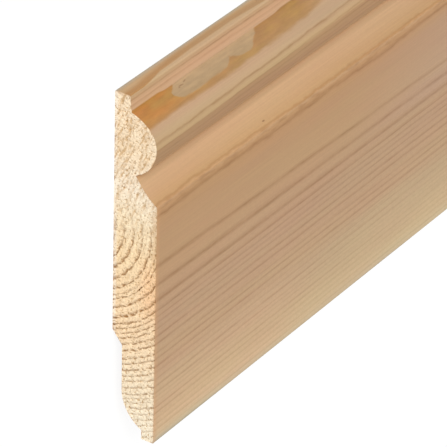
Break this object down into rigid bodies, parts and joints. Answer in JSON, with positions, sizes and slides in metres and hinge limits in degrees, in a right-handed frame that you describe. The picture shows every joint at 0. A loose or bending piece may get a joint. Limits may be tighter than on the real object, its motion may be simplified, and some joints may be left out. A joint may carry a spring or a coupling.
{
  "type": "skirting board",
  "caption": "Reversible pine skirting board with a torus bead on the front's top edge and an ovolo on the back's bottom edge.",
  "frame": {"origin": "under the middle of the board, on the level floor that its back face lies on", "axes": "+X along the length, +Y across the width towards the torus edge, +Z through the thickness from the back face to the moulded front face"},
  "size_m": [2.4, 0.144, 0.019],
  "materials": {
    "planed_pine": "bare planed pine, sawn at the ends"
  },
  "bodies": {
    "root": {"skirting_board": "planed_pine"}
  },
  "joints": []
}
